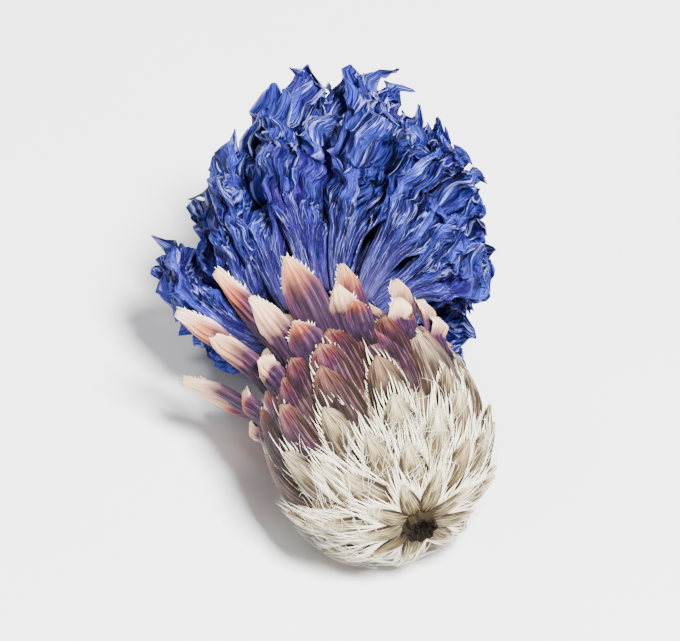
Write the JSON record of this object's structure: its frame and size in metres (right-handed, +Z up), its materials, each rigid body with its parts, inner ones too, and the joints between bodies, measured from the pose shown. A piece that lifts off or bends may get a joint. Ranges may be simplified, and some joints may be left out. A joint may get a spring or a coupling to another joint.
{
  "type": "cornflower",
  "caption": "Dried cornflower head lying on its side: a pale scaly globe, spreading mauve bracts with peach tips and a tuft of blue lobed florets.",
  "frame": {"origin": "on the surface that the head lies on, under the middle of its bounding box", "axes": "+Y from the stem's scar towards the tuft of florets, +Z up from the surface"},
  "size_m": [0.0142, 0.023, 0.015],
  "materials": {
    "stem": "matte, ribbed and downy",
    "scales": "matte, papery with white fringes",
    "bracts": "matte, papery with paler tips",
    "petals": "matte, crinkled",
    "disc": "matte"
  },
  "bodies": {
    "root": {"stem_stub": "stem", "involucre": "scales", "inner_bracts": "bracts", "ray_florets": "petals", "disc_florets": "disc"}
  },
  "joints": []
}
